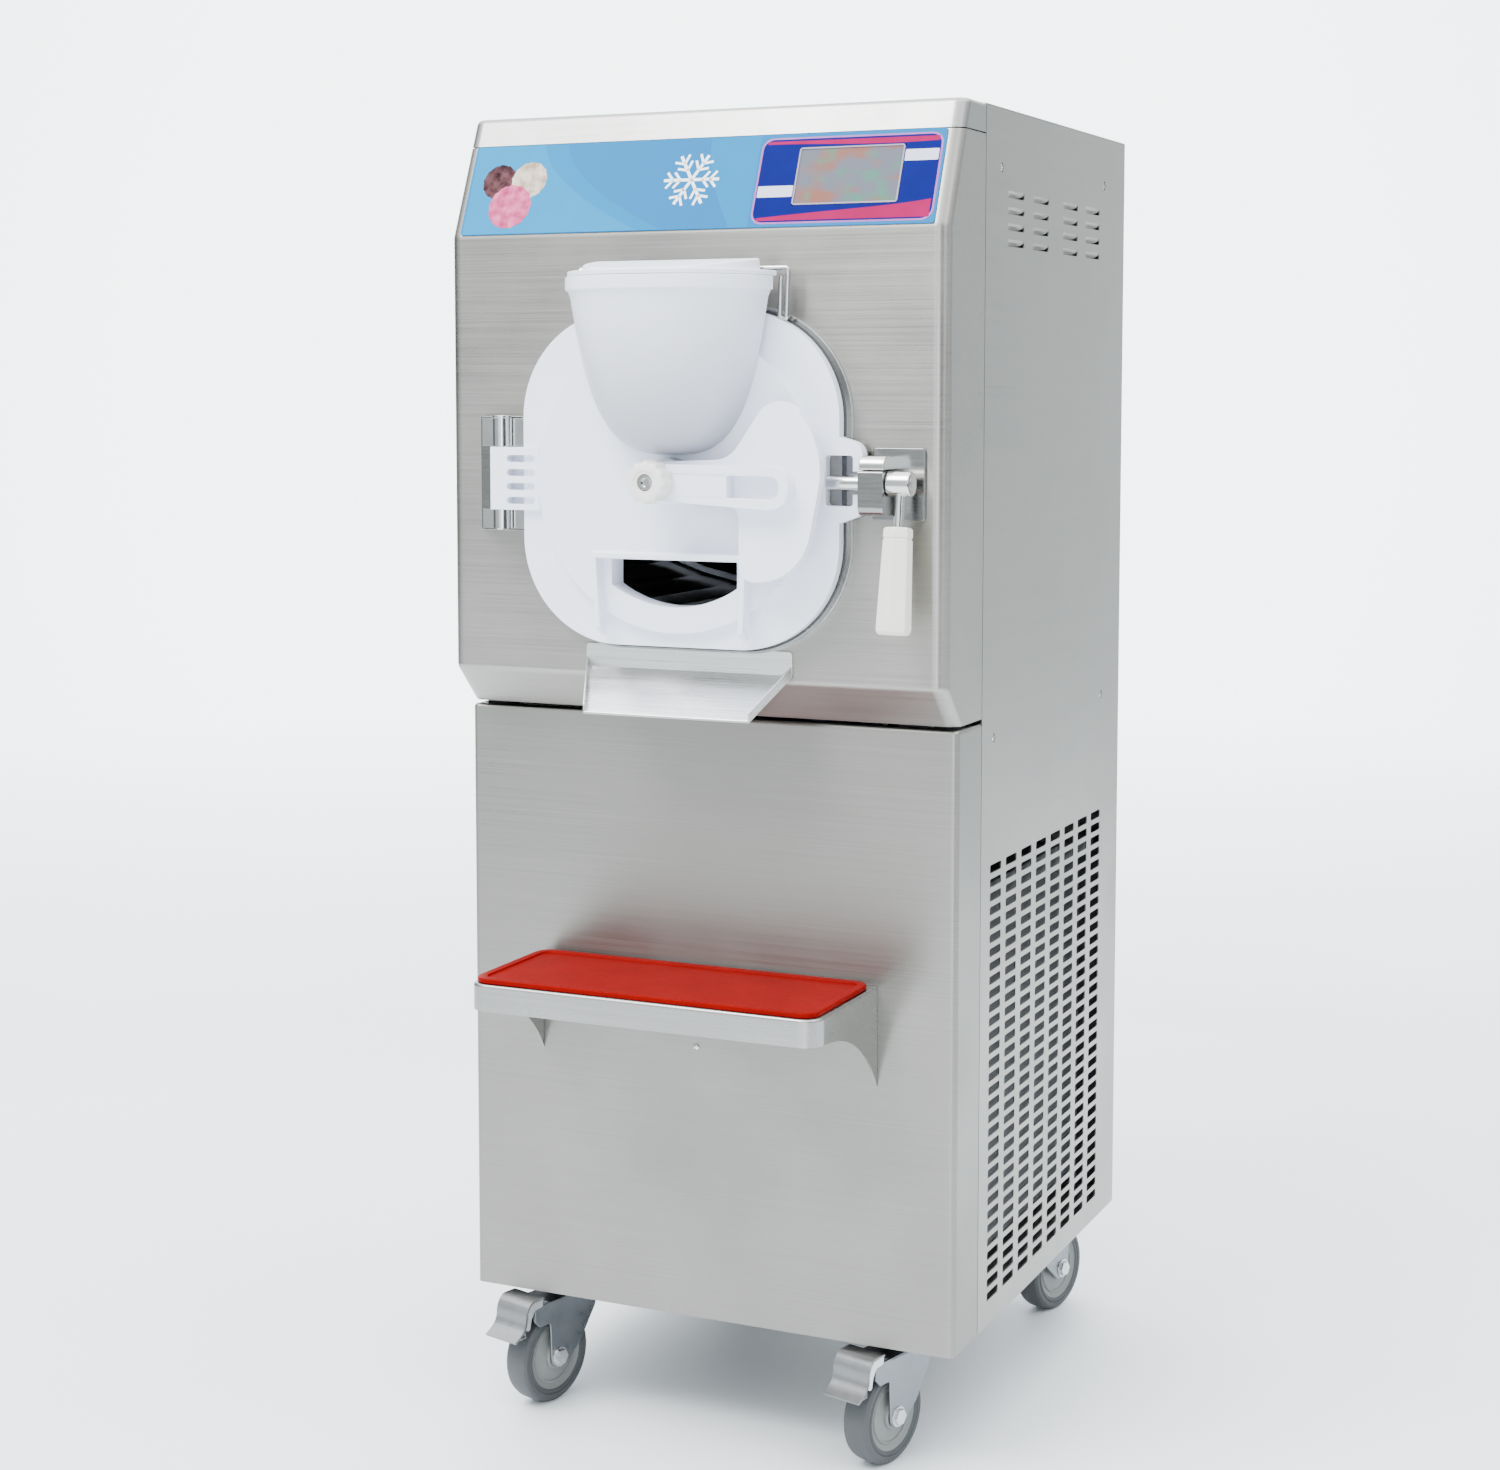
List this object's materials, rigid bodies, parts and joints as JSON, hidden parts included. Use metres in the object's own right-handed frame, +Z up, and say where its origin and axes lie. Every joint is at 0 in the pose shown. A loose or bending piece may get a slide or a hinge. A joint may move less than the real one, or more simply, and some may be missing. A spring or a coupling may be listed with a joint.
{
  "type": "batch freezer ice cream maker",
  "caption": "Floor-standing stainless batch freezer for ice cream, with hinged white front door, hopper, rotary outlet gate, shelf and swivel casters.",
  "frame": {"origin": "middle of the machine's footprint, on the floor under the wheels", "axes": "+Z up, -Y out of the front with the door and the shelf, +X to the right seen from the front"},
  "size_m": [0.54, 0.735, 1.355],
  "materials": {
    "stainless": "brushed stainless sheet, satin",
    "polished": "machined and polished stainless",
    "frame_steel": "grey primed steel",
    "white_plastic": "white food-safe acetal, satin gloss",
    "cream_plastic": "cream moulded plastic",
    "zinc": "bright zinc plated pressing",
    "grey_rubber": "grey elastic rubber",
    "black_rubber": "black rubber",
    "red_silicone": "red silicone mat, glossy",
    "fascia_film": "printed polyester overlay, blue gradient with plain shapes",
    "screen": "dark glass touch panel",
    "foam": "closed-cell foam insulation",
    "black_paint": "black stoved paint",
    "fins": "aluminium fins and blades",
    "motor_paint": "blue machine enamel",
    "box_plastic": "grey moulded enclosure"
  },
  "bodies": {
    "cabinet": {"base_pan": "frame_steel", "side_frame_left": "frame_steel", "side_frame_right": "frame_steel", "motor_shelf": "frame_steel", "cylinder_cradle": "frame_steel", "front_lower_panel": "stainless", "front_upper_panel": "stainless", "side_panel_left": "stainless", "side_panel_right": "stainless", "back_panel": "stainless", "top_cover": "stainless", "control_fascia": "fascia_film", "touch_screen": "screen", "electrical_box": "box_plastic", "cable_gland": "black_rubber", "freezing_cylinder": "stainless", "cylinder_insulation": "foam", "cylinder_flange": "stainless", "shaft_seal": "black_rubber", "bearing_housing": "frame_steel", "drive_belt": "black_rubber", "beater_motor": "motor_paint", "compressor": "black_paint", "condenser": "fins", "fan_shroud": "black_paint", "fan_motor": "black_paint", "hinge_bracket": "polished", "hinge_pin": "polished", "latch_bracket": "polished", "chute": "stainless", "shelf": "stainless", "shelf_mat": "red_silicone"},
    "beater": {"beater": "polished", "scraper_blade_1": "white_plastic", "scraper_blade_2": "white_plastic", "beater_shaft": "polished", "driven_pulley": "frame_steel"},
    "motor_rotor": {"motor_pulley": "frame_steel"},
    "fan": {"fan_blade": "fins"},
    "door": {"door": "white_plastic", "door_gasket": "black_rubber", "hopper_cup": "white_plastic", "lid_hinge_rod": "polished", "gate_stud": "polished"},
    "hopper_lid": {"hopper_lid": "white_plastic"},
    "gate": {"outlet_gate": "white_plastic", "gate_handle": "white_plastic"},
    "gate_knob": {"gate_knob": "cream_plastic"},
    "latch_lever": {"latch_shaft": "polished", "latch_grip": "cream_plastic"},
    "caster_fl": {"caster_fork_fl": "zinc"},
    "wheel_fl": {"caster_wheel_fl": "grey_rubber"},
    "caster_fr": {"caster_fork_fr": "zinc"},
    "wheel_fr": {"caster_wheel_fr": "grey_rubber"},
    "caster_rl": {"caster_fork_rl": "zinc"},
    "wheel_rl": {"caster_wheel_rl": "grey_rubber"},
    "caster_rr": {"caster_fork_rr": "zinc"},
    "wheel_rr": {"caster_wheel_rr": "grey_rubber"},
    "pedal_fl": {"brake_pedal_fl": "zinc"},
    "pedal_fr": {"brake_pedal_fr": "zinc"}
  },
  "joints": [
    {"name": "door_swing", "type": "hinge", "parent": "cabinet", "child": "door", "pos_m": [-0.199, -0.25418, 0.99], "axis": [0, 0, -1], "range_deg": [0, 110]},
    {"name": "latch_turn", "type": "hinge", "parent": "cabinet", "child": "latch_lever", "pos_m": [0.207, -0.26218, 0.99], "axis": [-1, 0, 0], "range_deg": [0, 120]},
    {"name": "gate_turn", "type": "hinge", "parent": "door", "child": "gate", "pos_m": [0, -0.29318, 0.99], "axis": [0, 1, 0], "range_deg": [0, 90]},
    {"name": "gate_knob_turn", "type": "hinge", "parent": "door", "child": "gate_knob", "pos_m": [0, -0.31818, 0.99], "axis": [0, 1, 0], "continuous": true},
    {"name": "hopper_lid_open", "type": "hinge", "parent": "door", "child": "hopper_lid", "pos_m": [0, -0.25518, 1.194], "axis": [-1, 0, 0], "range_deg": [0, 95]},
    {"name": "beater_spin", "type": "hinge", "parent": "cabinet", "child": "beater", "pos_m": [0, -0.04818, 0.99], "axis": [0, 1, 0], "continuous": true},
    {"name": "motor_spin", "type": "hinge", "parent": "cabinet", "child": "motor_rotor", "pos_m": [0, 0.19082, 0.66], "axis": [0, 1, 0], "continuous": true},
    {"name": "fan_spin", "type": "hinge", "parent": "cabinet", "child": "fan", "pos_m": [0.192, 0.08682, 0.368], "axis": [1, 0, 0], "continuous": true},
    {"name": "swivel_fl", "type": "hinge", "parent": "cabinet", "child": "caster_fl", "pos_m": [-0.193, -0.13418, 0.118], "axis": [0, 0, 1], "continuous": true},
    {"name": "wheel_spin_fl", "type": "hinge", "parent": "caster_fl", "child": "wheel_fl", "pos_m": [-0.20232, -0.16895, 0.05], "axis": [0.9659, -0.2588, 0], "continuous": true},
    {"name": "swivel_fr", "type": "hinge", "parent": "cabinet", "child": "caster_fr", "pos_m": [0.193, -0.13418, 0.118], "axis": [0, 0, 1], "continuous": true},
    {"name": "wheel_spin_fr", "type": "hinge", "parent": "caster_fr", "child": "wheel_fr", "pos_m": [0.18368, -0.16895, 0.05], "axis": [0.9659, -0.2588, 0], "continuous": true},
    {"name": "swivel_rl", "type": "hinge", "parent": "cabinet", "child": "caster_rl", "pos_m": [-0.193, 0.28182, 0.118], "axis": [0, 0, 1], "continuous": true},
    {"name": "wheel_spin_rl", "type": "hinge", "parent": "caster_rl", "child": "wheel_rl", "pos_m": [-0.18368, 0.31659, 0.05], "axis": [-0.9659, 0.2588, 0], "continuous": true},
    {"name": "swivel_rr", "type": "hinge", "parent": "cabinet", "child": "caster_rr", "pos_m": [0.193, 0.28182, 0.118], "axis": [0, 0, 1], "continuous": true},
    {"name": "wheel_spin_rr", "type": "hinge", "parent": "caster_rr", "child": "wheel_rr", "pos_m": [0.20232, 0.31659, 0.05], "axis": [-0.9659, 0.2588, 0], "continuous": true},
    {"name": "brake_fl", "type": "hinge", "parent": "caster_fl", "child": "pedal_fl", "pos_m": [-0.2106, -0.19986, 0.116], "axis": [0.9659, -0.2588, 0], "range_deg": [0, 8]},
    {"name": "brake_fr", "type": "hinge", "parent": "caster_fr", "child": "pedal_fr", "pos_m": [0.1754, -0.19986, 0.116], "axis": [0.9659, -0.2588, 0], "range_deg": [0, 8]}
  ],
  "couplings": [
    {"joint": "motor_spin", "follows": "beater_spin", "ratio": 2.75}
  ]
}
